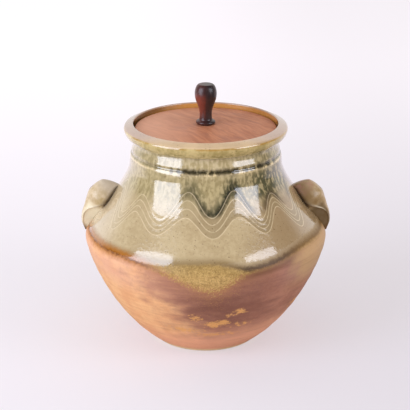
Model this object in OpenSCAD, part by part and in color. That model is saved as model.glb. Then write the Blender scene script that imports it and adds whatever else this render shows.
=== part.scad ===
// Lidded stoneware crock: a wheel-thrown pot with two pulled lugs, and a loose turned wooden lid.
// Millimetres, +Z up, origin at the centre of the foot, lugs on the X axis.

/* [Crock] */
// Radius of the belly at its widest
belly_r = 144.4; // [125:0.1:165]
// Height of the widest part of the belly
belly_h = 129.5; // [115:0.5:140]
// Radius of the foot where the wall starts
foot_r = 64.9; // [52:0.1:75]
// Height and width of the bevel round the foot's edge
foot_bevel = 1.6; // [0.8:0.1:3]
// Angle at which the wall leaves the foot, above the floor
foot_angle = 37; // [28:1:44]
// Thickness of the thrown wall
wall_t = 8; // [6:0.1:10]
// Thickness of the floor
floor_t = 10; // [7:0.1:14]
// Round of the corner between floor and wall
floor_round = 16; // [8:0.5:20]
// Width of the ring that the pot stands on
foot_ring_w = 14; // [8:0.5:20]
// Depth of the trimmed recess inside the foot ring
foot_recess = 2.5; // [1:0.1:5]

/* [Neck and rim] */
// Height where the shoulder runs into the neck
shoulder_h = 222; // [210:0.5:234]
// Outer radius at the foot of the neck
neck_r = 90; // [88:0.1:94]
// Height of the neck, from the shoulder to the underside of the rim
neck_h = 25.4; // [20:0.1:32]
// Height of the raised ring at the foot of the neck
ring_h = 10; // [7:0.1:13]
// How far the ring stands out from the groove above it
ring_proud = 2.2; // [1:0.1:3]
// Round of the ring's upper edge
ring_round = 1.4; // [0.6:0.1:2]
// Height of the groove above the ring
groove_h = 3; // [2:0.1:4]
// Outer radius of the neck just under the rim
neck_top_r = 86.9; // [86:0.1:88]
// Outermost radius of the rim
rim_r = 96.5; // [94.5:0.1:101]
// Height of the rim's outer face, from its underside to its outer edge
rim_h = 12.5; // [9:0.1:16]
// How far the rim's inner ridge stands above its outer edge
rim_rise = 6.6; // [3:0.1:9]
// Round of the rim's outer edge
rim_edge_round = 4.2; // [3:0.1:5]
// Round of the rim's inner ridge
ridge_round = 1.3; // [0.6:0.1:2]
// Inner radius of the gallery, the recess that takes the lid
gallery_r = 85; // [82:0.1:86]
// Inner radius of the throat below the gallery
throat_r = 76; // [70:0.5:78]
// Height of the straight throat under the gallery's ledge
throat_h = 6; // [4:0.5:8]
// Round of the edges of the gallery's ledge
ledge_round = 1.4; // [0.5:0.1:1.8]

/* [Lugs] */
// Height on the shoulder where the lug's root starts
lug_top_h = 188.5; // [184:0.5:192]
// Height on the belly where the lug's tail ends
lug_tail_h = 132.5; // [131:0.1:142]
// Largest distance of the lug's outer face from the wall
lug_stand = 22; // [18:0.1:25]
// Depth to which the lug's rounded back is pressed against the wall
lug_press = 1; // [0.5:0.1:3]
// Largest width of the lug, across the wall
lug_w = 35; // [26:0.5:42]
// Depth of the thumb's hollow on the back of the lug
lug_hollow = 1.6; // [0:0.1:2]
// Thickness of the slip between lug and wall
slip_t = 0.05; // [0.02:0.01:0.2]

/* [Lid] */
// Thickness of the lid's edge
lid_edge_t = 9; // [7:0.1:11]
// How far the lid's edge lies below the rim's ridge
lid_below = 6; // [3:0.1:8]
// Rise of the lid's top from its edge to the knob
lid_crown = 3.4; // [1:0.1:5]
// Clearance round the lid inside the gallery
lid_gap = 2; // [1.9:0.1:3]
// Clearance between the lid and the gallery's ledge
seat_gap = 0.2; // [0.1:0.05:0.4]
// Round of the lid's top edge
lid_round = 1.2; // [0.5:0.1:2.5]
// Bevel of the lid's lower edge
lid_bevel = 1.5; // [0.5:0.1:2.5]
// Width of the flat round the knob's base
knob_seat_margin = 1.5; // [0.5:0.1:4]

/* [Knob] */
// Height of the knob
knob_h = 48; // [42:0.5:56]
// Radius of the knob's base
knob_base_r = 11.4; // [10:0.1:14]
// Thickness of the rounded base
knob_base_t = 4.8; // [3.5:0.1:6]
// Radius of the knob's neck
knob_neck_r = 7.2; // [6:0.1:9]
// Height of the narrowest part of the neck
knob_neck_h = 12.5; // [10:0.1:15]
// Radius of the knob's bulb
knob_bulb_r = 12.9; // [11:0.1:15]
// Height of the widest part of the bulb
knob_bulb_h = 36.5; // [32:0.1:38]
// Radius of the flat on top of the knob
knob_top_r = 7.6; // [5:0.1:9]
// Depth of the dish in the flat on top
knob_dish = 0.5; // [0:0.1:1]

/* [Screw] */
// Radius of the screw's shank
screw_r = 2.1; // [1.8:0.1:2.6]
// Radius of the screw's thread
thread_r = 1.9; // [1.5:0.1:2.4]
// Radius of the screw's countersunk head
screw_head_r = 4.2; // [3.6:0.1:5]
// Height of the screw's cone-shaped head
screw_head_h = 2.6; // [2:0.1:3.2]
// Height of the straight land under the screw's head
screw_land = 0.3; // [0.1:0.1:0.6]
// Length of the screw
screw_len = 32; // [28:0.5:38]
// Length of the screw's point
screw_point = 4; // [3:0.1:6]
// Width of the driver slot
slot_w = 1.1; // [0.8:0.1:1.4]
// Depth of the driver slot
slot_depth = 1; // [0.6:0.1:1.4]
// Clearance round the screw in the lid and the knob
screw_gap = 0.08; // [0.04:0.01:0.2]

/* [Hidden] */
$fn = 96;

// Colours of the glazed clay, the two woods and the screw
glaze_colour = [0.66, 0.61, 0.45];
lid_colour = [0.60, 0.34, 0.22];
knob_colour = [0.16, 0.08, 0.07];
screw_colour = [0.72, 0.58, 0.32];

// Steps along each curve of the profiles
wall_steps = 22;
rim_steps = 8;
round_steps = 5;

// Handles of the wall's curves at the foot, below and above the belly, and under the neck
foot_pull = 70;
belly_low_pull = 13;
belly_high_pull = 16;
neck_pull = 26;

// Heights that stack up from the shoulder
rim_under_h = shoulder_h + neck_h;
rim_edge_h = rim_under_h + rim_h;
ridge_h = rim_edge_h + rim_rise;
lid_edge_h = ridge_h - lid_below;
ledge_h = lid_edge_h - lid_edge_t - seat_gap;
lid_base_h = ledge_h + seat_gap;
crown_h = lid_edge_h + lid_crown;
floor_h = foot_recess + floor_t;

// Radii that follow from the fits
lid_r = gallery_r - lid_gap;
knob_seat_r = knob_base_r + knob_seat_margin;

// Points along a cubic curve with end points a and d and handles b and c
function curve(a, b, c, d, steps) =
    [for (i = [0:steps]) let (t = i / steps, u = 1 - t)
        u * u * u * a + 3 * u * u * t * b + 3 * u * t * t * c + t * t * t * d];

// Points along an arc, angles from the +X direction
function arc(centre, radius, from, to, steps) =
    [for (i = [0:steps]) let (angle = from + (to - from) * i / steps)
        centre + radius * [cos(angle), sin(angle)]];

function unit(v) = v / norm(v);

function direction(path, i) = unit(path[min(i + 1, len(path) - 1)] - path[max(i - 1, 0)]);

// A path that climbs the wall, moved outwards along its own normal
function shifted(path, distance) =
    [for (i = [0:len(path) - 1]) let (along = direction(path, i)) path[i] + distance * [along.y, -along.x]];

function reversed(path) = [for (i = [len(path) - 1:-1:0]) path[i]];

function without_first(path) = [for (i = [1:len(path) - 1]) path[i]];

// A value read off evenly spaced hand-set values, smoothly, at a place from 0 to 1
function blended(values, place) =
    let (last = len(values) - 1, x = place * last, i = min(floor(x), last - 1), f = x - i,
         a = values[max(i - 1, 0)], b = values[i], c = values[i + 1], d = values[min(i + 2, last)])
    b + f / 2 * (c - a + f * (2 * a - 5 * b + 4 * c - d + f * (3 * (b - c) + d - a)));

// The thrown wall's outer curve, from the foot to the belly and on to the neck
belly_point = [belly_r, belly_h];
neck_point = [neck_r, shoulder_h];
foot_point = [foot_r, foot_bevel];
lower_wall = curve(foot_point, foot_point + foot_pull * [cos(foot_angle), sin(foot_angle)],
                   belly_point - [0, belly_low_pull], belly_point, wall_steps);
shoulder_wall = curve(belly_point, belly_point + [0, belly_high_pull],
                      neck_point - [0, neck_pull], neck_point, wall_steps);
outer_wall = concat(lower_wall, without_first(shoulder_wall));

// The inside of the wall, down to where the floor's corner starts
inner_wall = [for (p = shifted(outer_wall, -wall_t)) if (p.y > floor_h + floor_round / 2) p];
corner_slope = inner_wall[1] - inner_wall[0];
corner_point = inner_wall[0] - corner_slope * (inner_wall[0].y - floor_h) / corner_slope.y;
floor_end = corner_point - [floor_round, 0];
floor_corner = curve(inner_wall[0], corner_point, corner_point, floor_end, rim_steps);

// Ring, groove and neck, then the rolled rim with its outer edge and inner ridge
ring_top = shoulder_h + ring_h;
groove_r = neck_r - ring_proud;
groove_top = ring_top + groove_h;
ring_lean = 0.6;
ring_centre = [neck_r - ring_lean - ring_round, ring_top - ring_round];
neck_start = [(groove_r + neck_top_r) / 2 + ring_lean, groove_top];
neck_end = [neck_top_r, rim_under_h];
neck_rise = rim_under_h - groove_top;
neck_path = concat(
    [neck_point],
    arc(ring_centre, ring_round, 0, 90, round_steps),
    curve([groove_r, ring_top], [groove_r - ring_lean, ring_top + groove_h / 3],
          [groove_r - ring_lean, groove_top - groove_h / 3], neck_start, rim_steps),
    without_first(curve(neck_start, neck_start + [0, neck_rise / 4], neck_end - [0, neck_rise / 2],
                        neck_end, rim_steps)));
roll_reach = 5;
roll_drop = 6;
edge_centre = [rim_r - rim_edge_round, rim_edge_h];
ridge_centre = [gallery_r + ridge_round, ridge_h - ridge_round];
// Slope of the straight rim top that touches both rounds
rim_lean = asin((rim_edge_round - ridge_round) / norm(edge_centre - ridge_centre));
rim_slope = atan2(ridge_centre.y - edge_centre.y, edge_centre.x - ridge_centre.x) - rim_lean;
rim_path = concat(
    curve(neck_end, neck_end + [roll_reach, 0],
          [rim_r, rim_edge_h - roll_drop], [rim_r, rim_edge_h], rim_steps),
    without_first(arc(edge_centre, rim_edge_round, 0, 90 - rim_slope, round_steps)),
    arc(ridge_centre, ridge_round, 90 - rim_slope, 180, round_steps));

// Gallery that carries the lid, and the throat that runs back to the wall
throat_point = [throat_r, ledge_h - throat_h];
inner_neck = [neck_r - wall_t, shoulder_h];
gallery_path = concat(
    arc([gallery_r - ledge_round, ledge_h + ledge_round], ledge_round, 0, -90, round_steps),
    arc([throat_r + ledge_round, ledge_h - ledge_round], ledge_round, 90, 180, round_steps),
    curve(throat_point, throat_point - [0, throat_h], inner_neck + [0, throat_h], inner_neck, rim_steps));

foot_path = [
    [0, foot_recess],
    [foot_r - foot_ring_w - foot_recess, foot_recess],
    [foot_r - foot_ring_w, 0],
    [foot_r - foot_bevel, 0]];

crock_outline = concat(
    foot_path, outer_wall, without_first(neck_path), without_first(rim_path), gallery_path,
    without_first(reversed(inner_wall)), without_first(floor_corner), [[0, floor_h]]);

module crock_body() {
    color(glaze_colour)
        rotate_extrude() polygon(crock_outline);
}

// Shares of the lug's full stand-off and width, evenly spaced from its root to its tail
lug_outer = [0.74, 0.9, 1, 0.98, 0.85, 0.75, 0.62, 0.37, 0.11];
lug_width = [0.3, 0.66, 0.94, 1, 0.64, 0.42, 0.32, 0.22, 0.1];
// Share of the stand-off at which the lug's side edges lie
lug_under = [0.12, 0.12, 0.14, 0.2, 0.48, 0.64, 0.42, 0.28, 0.24];
lug_rings = 26;
lug_sides = 28;
// Share of each ring's points that lie above its side edges
lug_over = 9 / 14;
// Share of the width that is tucked in below the side edges
lug_tuck = 0.18;
// How far round the lug's back bends to its side edges, on the plump lobe and less on the tail
lobe_bend = 90;
tail_bend_less = 38;
// Share of the lug's length taken by its rounded root
lug_nose = 0.08;
// Place and length of the thumb's hollow along the lug, and the share of the width that it takes
hollow_place = 0.34;
hollow_length = 0.14;
hollow_share = 0.4;

// Place on the shoulder's curve, from 0 to 1, at a height
function shoulder_place(height, low = 0, high = 1, tries = 24) =
    let (middle = (low + high) / 2)
    tries == 0 ? middle
    : shoulder_at(middle).y < height ? shoulder_place(height, middle, high, tries - 1)
    : shoulder_place(height, low, middle, tries - 1);

function shoulder_at(t) =
    let (u = 1 - t)
    u * u * u * belly_point + 3 * u * u * t * (belly_point + [0, belly_high_pull])
    + 3 * u * t * t * (neck_point - [0, neck_pull]) + t * t * t * neck_point;

// 0 up to a low value and 1 from a high value on, with a smooth step between them
function smooth_step(low, high, value) =
    let (share = min(1, max(0, (value - low) / (high - low))))
    share * share * (3 - 2 * share);

// One ring of the lug: a rounded back that meets its narrower flanks at the side edges
function lug_ring(place) =
    let (t = shoulder_place(lug_top_h + (lug_tail_h - lug_top_h) * place),
         foot = shoulder_at(t),
         along = unit(shoulder_at(t + 0.001) - shoulder_at(t - 0.001)),
         out = [along.y, -along.x],
         rise = 1 - min(1, place / lug_nose),
         nose = sqrt(1 - rise * rise),
         near = -lug_press,
         far = near / 2 + (lug_stand * blended(lug_outer, place) - near / 2) * nose,
         half = lug_w / 2 * blended(lug_width, place) * (1 + nose) / 2,
         edge = near + (far - near) * blended(lug_under, place),
         bend = lobe_bend - tail_bend_less * smooth_step(0.36, 0.5, place),
         along_hollow = (place - hollow_place) / hollow_length)
    [for (k = [0:lug_sides - 1])
        let (turn = min(k, lug_sides - k) / (lug_sides / 2),
             over = bend * min(1, turn / lug_over),
             below = max(0, (turn - lug_over) / (1 - lug_over)),
             side = sin(over) / hollow_share,
             dent = lug_hollow * exp(-side * side - along_hollow * along_hollow),
             drop = min(1, max(0, (below - 0.1) / 0.7)),
             back = (cos(over) - cos(bend)) / (1 - cos(bend)),
             off = edge + (far - edge) * back - dent + (near - edge) * drop,
             tuck = 1 - lug_tuck * smooth_step(0, 0.25, below),
             close = 1 - max(0, (below - 0.8) / 0.2),
             wide = half * sin(over) / sin(bend) * tuck * close,
             p = foot + off * out)
        [p.x, k > lug_sides / 2 ? -wide : wide, p.y]];

module lug_form() {
    places = [for (i = [0:lug_rings]) (1 - cos(180 * i / lug_rings)) / 2];
    points = [for (place = places) each lug_ring(place)];
    sides = [for (i = [0:lug_rings - 1], k = [0:lug_sides - 1])
        let (a = i * lug_sides + k, b = i * lug_sides + (k + 1) % lug_sides)
        each [[a, b, b + lug_sides], [a, b + lug_sides, a + lug_sides]]];
    last = lug_rings * lug_sides;
    root_cap = [for (k = [1:lug_sides - 2]) [0, k + 1, k]];
    tail_cap = [for (k = [1:lug_sides - 2]) [last, last + k, last + k + 1]];
    polyhedron(points, concat(sides, root_cap, tail_cap));
}

// The solid core of the shoulder, to which the lugs are luted
module shoulder_core() {
    below = 12;
    seat = shifted(shoulder_wall, slip_t);
    rotate_extrude()
        polygon(concat([[0, belly_h - below], [belly_r + slip_t, belly_h - below]], seat, [[0, shoulder_h]]));
}

module right_lug() {
    color(glaze_colour)
        difference() {
            lug_form();
            shoulder_core();
        }
}

module left_lug() {
    mirror([1, 0, 0]) right_lug();
}

// Half section of the lid, from its axis round the edge to the flat under the knob
crown_pull = 26;
lid_outline = concat(
    [[0, lid_base_h], [lid_r - lid_bevel, lid_base_h], [lid_r, lid_base_h + lid_bevel]],
    arc([lid_r - lid_round, lid_edge_h - lid_round], lid_round, 0, 88, round_steps),
    without_first(curve([lid_r - lid_round, lid_edge_h], [lid_r - crown_pull, lid_edge_h + lid_crown / 2],
                        [knob_seat_r + crown_pull, crown_h], [knob_seat_r, crown_h], wall_steps)),
    [[0, crown_h]]);

module lid_board() {
    color(lid_colour)
        difference() {
            rotate_extrude() polygon(lid_outline);
            lid_hole();
        }
}

// Half section of the knob: rounded base, waisted neck, bulb and dished top
base_centre = [knob_base_r - knob_base_t / 2, crown_h + knob_base_t / 2];
cove_pull = 3.4;
bulb_pull = 9;
cap_pull = 6;
neck_at = [knob_neck_r, crown_h + knob_neck_h];
bulb_at = [knob_bulb_r, crown_h + knob_bulb_h];
top_at = [knob_top_r, crown_h + knob_h];
knob_outline = concat(
    [[0, crown_h]],
    arc(base_centre, knob_base_t / 2, -90, 80, rim_steps),
    curve([base_centre.x, crown_h + knob_base_t], [knob_neck_r, crown_h + knob_base_t],
          neck_at - [0, cove_pull], neck_at, rim_steps),
    without_first(curve(neck_at, neck_at + [0, bulb_pull], bulb_at - [0, bulb_pull], bulb_at, wall_steps)),
    without_first(curve(bulb_at, bulb_at + [0, cap_pull], top_at + [cap_pull / 2, 0], top_at, wall_steps)),
    [[0, crown_h + knob_h - knob_dish]]);

module lid_knob() {
    color(knob_colour)
        difference() {
            rotate_extrude() polygon(knob_outline);
            knob_hole();
        }
}

// Heights along the screw, from the lid's underside
thread_low = crown_h - lid_base_h;
thread_top = screw_len - screw_point;
// How far a hole is cut past the face that it breaks through
cut_past = 1;

// Clearance hole and countersink through the lid
module lid_hole() {
    hole_r = screw_r + screw_gap;
    head_r = screw_head_r + screw_gap;
    translate([0, 0, lid_base_h - cut_past])
        cylinder(r = hole_r, h = thread_low + 2 * cut_past);
    translate([0, 0, lid_base_h - cut_past])
        cylinder(r = head_r, h = cut_past + screw_land);
    translate([0, 0, lid_base_h + screw_land])
        cylinder(r1 = head_r, r2 = hole_r, h = screw_head_h);
}

// Pilot hole up into the knob, with a pointed end
module knob_hole() {
    pilot_r = thread_r + screw_gap;
    translate([0, 0, crown_h - cut_past])
        cylinder(r = pilot_r, h = thread_top - thread_low + cut_past);
    translate([0, 0, lid_base_h + thread_top])
        cylinder(r1 = pilot_r, r2 = 0, h = screw_point + screw_gap);
}

// A countersunk wood screw, its head flush with the lid's underside
module knob_screw() {
    slot_reach = 2 * screw_head_r + 2 * cut_past;
    color(screw_colour)
        translate([0, 0, lid_base_h])
            difference() {
                rotate_extrude()
                    polygon([
                        [0, 0], [screw_head_r, 0], [screw_head_r, screw_land],
                        [screw_r, screw_land + screw_head_h], [screw_r, thread_low],
                        [thread_r, thread_low], [thread_r, thread_top], [0, screw_len - screw_gap]]);
                translate([-slot_reach / 2, -slot_w / 2, -slot_depth])
                    cube([slot_reach, slot_w, 2 * slot_depth]);
            }
}

crock_body();
left_lug();
right_lug();
lid_board();
lid_knob();
knob_screw();
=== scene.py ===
import math

import bmesh
import bpy
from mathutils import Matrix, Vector


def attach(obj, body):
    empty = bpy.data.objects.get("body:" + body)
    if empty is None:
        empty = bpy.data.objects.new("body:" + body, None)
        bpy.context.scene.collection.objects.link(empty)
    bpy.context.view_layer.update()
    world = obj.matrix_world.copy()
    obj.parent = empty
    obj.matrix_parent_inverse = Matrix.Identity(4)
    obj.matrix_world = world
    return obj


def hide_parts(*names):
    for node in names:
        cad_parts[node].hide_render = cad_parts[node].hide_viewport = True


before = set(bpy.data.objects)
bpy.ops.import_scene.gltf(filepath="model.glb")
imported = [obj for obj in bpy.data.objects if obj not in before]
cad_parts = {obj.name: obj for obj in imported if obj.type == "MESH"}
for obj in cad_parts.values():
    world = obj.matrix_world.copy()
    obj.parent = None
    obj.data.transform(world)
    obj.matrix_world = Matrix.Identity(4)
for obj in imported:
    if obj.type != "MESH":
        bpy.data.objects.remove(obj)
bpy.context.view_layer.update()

# The crock: one wheel-thrown piece of stoneware, from its trimmed foot to the rolled rim with a gallery
# for the lid. Its shoulder was combed in a wave while soft. Ash glaze covers the upper half, and the
# fire has flashed the bare clay below it orange and purple-brown.

# One millimetre in metres
MM = 0.001

# Sizes of the crock in millimetres
belly_r = 144.4
belly_h = 129.5
foot_r = 64.9
foot_bevel = 1.6
foot_angle = math.radians(37)
foot_ring_w = 14
foot_recess = 2.5
wall_t = 8
floor_h = 12.5
floor_r = 56
shoulder_h = 222
neck_r = 90
ring_top = 232
ring_lean = 0.6
ring_round = 1.4
groove_r = 87.8
groove_top = 235
neck_foot_r = 87.95
neck_top_r = 84.7
rim_under_h = 247.4
rim_r = 96.5
rim_edge_h = 259.9
rim_edge_round = 4.2
ridge_h = 266.5
ridge_round = 1.3
gallery_r = 85
ledge_h = 251.3
ledge_round = 1.4
throat_r = 76
throat_h = 6

# Lengths of the handles that bend the section's curves
foot_pull = 70
belly_pull_down = 13
belly_pull_up = 14
neck_pull = 28
ring_pull = 5
lip_pull = 0.9
groove_pull = 1
neck_foot_pull = 3
neck_top_pull = 6
rim_under_pull = 5
rim_edge_pull = 6
floor_pull = 14
corner_pull_in = 6
corner_pull_down = 8

# Numbers of steps along the section's curves, and round the axis
lower_steps = 64
shoulder_steps = 84
lip_steps = 12
groove_steps = 6
neck_steps = 7
rim_under_steps = 9
rim_edge_steps = 8
ridge_steps = 6
ledge_steps = 4
throat_steps = 5
corner_steps = 5
crock_steps = 400


def point(r, z):
    return Vector((r, z))


def cubic(a, b, c, d, t):
    """The point at t, from 0 to 1, on a cubic curve with ends a and d and handles b and c."""
    u = 1 - t
    return u**3 * a + 3 * u * u * t * b + 3 * u * t * t * c + t**3 * d


def curve(a, b, c, d, steps):
    """Points along a cubic curve with ends a and d and handles b and c."""
    return [cubic(a, b, c, d, step / steps) for step in range(steps + 1)]


def arc(centre, radius, start, end, steps):
    """Points along an arc, with angles in degrees from the +X direction."""
    points = []
    for step in range(steps + 1):
        angle = math.radians(start + (end - start) * step / steps)
        points.append(centre + radius * point(math.cos(angle), math.sin(angle)))
    return points


foot_at = point(foot_r, foot_bevel)
foot_leaving = foot_pull * point(math.cos(foot_angle), math.sin(foot_angle))
belly_at = point(belly_r, belly_h)
neck_at = point(neck_r, shoulder_h)
shoulder = (belly_at, belly_at + point(0, belly_pull_up), neck_at - point(0, neck_pull), neck_at)
lower_wall = curve(foot_at, foot_at + foot_leaving,
                   belly_at - point(0, belly_pull_down), belly_at, lower_steps)
shoulder_wall = curve(*shoulder, shoulder_steps)
ring_at = point(neck_r - ring_lean - ring_round, ring_top)
groove_back = groove_r - ring_lean
neck_start = point(neck_foot_r, groove_top)
neck_end = point(neck_top_r, rim_under_h)
rim_edge_at = point(rim_r, rim_edge_h)
edge_centre = point(rim_r - rim_edge_round, rim_edge_h)
ridge_centre = point(gallery_r + ridge_round, ridge_h - ridge_round)
rim_fall = edge_centre - ridge_centre
rim_lean = math.asin((rim_edge_round - ridge_round) / rim_fall.length)
rim_slope = math.degrees(math.atan2(-rim_fall.y, rim_fall.x) - rim_lean)
outside = (
    [point(0, foot_recess), point(foot_r - foot_ring_w - foot_recess, foot_recess)]
    + [point(foot_r - foot_ring_w, 0), point(foot_r - foot_bevel, 0)]
    + lower_wall
    + shoulder_wall[1:]
    + curve(neck_at, neck_at + point(0, ring_pull),
            point(neck_r - ring_lean, ring_top - lip_pull), ring_at, lip_steps)[1:]
    + curve(point(groove_r, ring_top), point(groove_back, ring_top + groove_pull),
            point(groove_back, groove_top - groove_pull), neck_start, groove_steps)
    + curve(neck_start, neck_start + point(0, neck_foot_pull),
            neck_end - point(0, neck_top_pull), neck_end, neck_steps)[1:]
    + curve(neck_end, neck_end + point(rim_under_pull, 0),
            rim_edge_at - point(0, rim_edge_pull), rim_edge_at, rim_under_steps)[1:]
    + arc(edge_centre, rim_edge_round, 0, 90 - rim_slope, rim_edge_steps)[1:]
    + arc(ridge_centre, ridge_round, 90 - rim_slope, 180, ridge_steps)
)

# The inner wall follows some of the outer wall's points, one wall thickness in
picked_high = slice(7, None, 9)
picked_low = slice(11, None, 7)
through_shoulder = wall_t * point(0.79, 0.61)
through_low_wall = wall_t * point(0.8, -0.6)
inner_shoulder = [p - through_shoulder for p in shoulder_wall[picked_high]]
inner_low = [p - through_low_wall for p in lower_wall[picked_low]]
floor_edge = point(floor_r, floor_h)
inner_neck = point(neck_r - wall_t, shoulder_h)
inside = (
    arc(point(gallery_r - ledge_round, ledge_h + ledge_round), ledge_round, 0, -90, ledge_steps)
    + arc(point(throat_r + ledge_round, ledge_h - ledge_round), ledge_round, 90, 180, ledge_steps)
    + curve(point(throat_r, ledge_h - throat_h), point(throat_r, ledge_h - 2 * throat_h),
            inner_neck + point(0, throat_h), inner_neck, throat_steps)
    + inner_shoulder[::-1]
    + inner_low[::-1]
    + curve(inner_low[0], inner_low[0] - point(corner_pull_in, corner_pull_down),
            floor_edge + point(floor_pull, 0), floor_edge, corner_steps)[1:]
    + [point(floor_r / 2, floor_h), point(0, floor_h)]
)
merge_within = 0.001


def turned(path, steps, closed=False):
    """A shape turned on the Z axis from a half section in millimetres."""
    bm = bmesh.new()
    verts = [bm.verts.new((p.x * MM, 0, p.y * MM)) for p in path]
    edges = [bm.edges.new(pair) for pair in zip(verts, verts[1:])]
    if closed:
        edges.append(bm.edges.new((verts[-1], verts[0])))
    bmesh.ops.spin(bm, geom=verts + edges, cent=(0, 0, 0), axis=(0, 0, 1), angle=math.tau,
                   steps=steps, use_merge=True)
    bmesh.ops.remove_doubles(bm, verts=bm.verts, dist=merge_within * MM)
    bmesh.ops.recalc_face_normals(bm, faces=bm.faces)
    bm.normal_update()
    return bm


def smooth_step(low, high, value):
    """0 up to low and 1 from high on, with a smooth step between them."""
    share = min(1, max(0, (value - low) / (high - low)))
    return share * share * (3 - 2 * share)


def bell(value, middle, width):
    """1 at the middle, falling away on both sides as a bell does."""
    return math.exp(-(((value - middle) / width) ** 2))


# Turning points of the combed wave: degrees round from the front, height of its top line, gap between lines
wave_marks = [(-58, 175.5, 6.0), (-47.5, 199, 5.9), (-28, 180.5, 5.2), (-12, 210.3, 8.7), (4, 184.6, 6.3),
              (20, 211, 9.0), (34.5, 178.7, 4.6), (49.7, 199.7, 4.8), (62, 176, 6.0)]
front_start = wave_marks[0]
front_end = wave_marks[-1]
back_marks = 15
back_step = (front_start[0] + 360 - front_end[0]) / (back_marks + 1)
back_h = 190
back_crest = 14
back_trough = -11
back_gap = 6.2
back_drift = 2
back_waver = 3
back_gap_waver = 1.6
for mark in range(1, back_marks + 1):
    drift = math.sin(1.7 * mark + 0.5)
    around = front_end[0] + back_step * mark + back_drift * drift
    swing = back_crest if mark % 2 else back_trough
    up = back_h + swing + back_waver * math.sin(2.3 * mark)
    wave_marks.append((around, up, back_gap + back_gap_waver * drift))
wave_marks.append((front_start[0] + 360, front_start[1], front_start[2]))
comb_lines = 4
comb_depth = 0.06
comb_ridge = 0.05
comb_ridge_w = 0.8
shoulder_slant = 1.27
lug_side = 90
comb_stops = 10
comb_whole = 18


def wave_at(degrees):
    """Height of the wave's top line, gap between the lines, and how steeply the wave climbs, per degree."""
    degrees = (degrees - wave_marks[0][0]) % 360 + wave_marks[0][0]
    for before, after in zip(wave_marks, wave_marks[1:]):
        if degrees <= after[0]:
            break
    span = after[0] - before[0]
    place = (degrees - before[0]) / span
    share = (1 - math.cos(math.pi * place)) / 2
    top = before[1] + (after[1] - before[1]) * share
    gap = before[2] + (after[2] - before[2]) * share
    climb = (after[1] - before[1]) * math.pi / 2 * math.sin(math.pi * place) / span
    return top, gap, climb


glaze_end_h = 141
right_dip_at = 20
front_run_at = 3.8


def glaze_edge(degrees):
    """Height at which the thick glaze ends, and the lower height that thin runs of ash reach."""
    left_dip = 2 * bell(degrees, -60, 40) + 2.4 * bell(degrees, -29, 13)
    right_dip = 8.8 * bell(degrees, right_dip_at, 10 if degrees < right_dip_at else 22)
    waver = 0.6 * math.sin(degrees / 7)
    thick = glaze_end_h - left_dip - right_dip + waver
    front_run = 31 * bell(degrees, front_run_at, 20 if degrees < front_run_at else 10.2)
    back_runs = 20 * bell(degrees, 152, 12) + 13 * bell(degrees, -128, 9)
    return thick, thick - front_run - back_runs


# Kisses of flame on the clay: degrees round, height, half width in degrees, half height, strength
kiss_marks = [(4.9, 57.4, 5, 5, 1), (9.6, 60.4, 3.6, 4.4, 1), (18.3, 77, 3.4, 4, 0.9),
              (13.5, 72, 3.8, 2.6, 0.7), (-5.4, 69.5, 3.4, 4.4, 0.8), (20.6, 55, 7, 5, 0.6),
              (-12.9, 47, 11, 5, 0.65), (7, 40, 18, 3.6, 0.6)]
back_kisses = 7
back_kiss_step = 37
back_kiss_h = 4.5
back_kiss_strength = 0.8
for mark in range(back_kisses):
    around = front_end[0] + back_kiss_step * mark
    up = 62 + 17 * math.sin(2.1 * mark)
    half_around = 6 + 2 * math.sin(3.3 * mark)
    kiss_marks.append((around, up, half_around, back_kiss_h, back_kiss_strength))
kiss_spread = 1.2
kiss_limit = 3


def kiss_at(degrees, z):
    """How strongly the flame has kissed a spot of the clay, from 0 to 1."""
    kiss = 0
    for around, up, half_around, half_up, strength in kiss_marks:
        off_around = (degrees - around + 180) % 360 - 180
        if abs(off_around) < kiss_limit * half_around and abs(z - up) < kiss_limit * half_up:
            sideways = bell(off_around, 0, kiss_spread * half_around)
            kiss = max(kiss, strength * sideways * bell(z, up, kiss_spread * half_up))
    return kiss


# Thickness of the glaze and the roll at its end, and throwing lines as depth, spacing and shift
glaze_t = 0.15
glaze_feather = (-0.5, 2)
glaze_roll = 0.12
glaze_roll_up = 2
glaze_roll_w = 2.6
throwing_lines = [(0.12, 17, 0), (0.08, 11.3, 0.4)]
throwing_start = (4, 20)
throwing_end = (115, 140)
gallery_slack = 0.5
floor_slack = 1
floor_reach_r = 80
facing_up = 0.9

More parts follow.
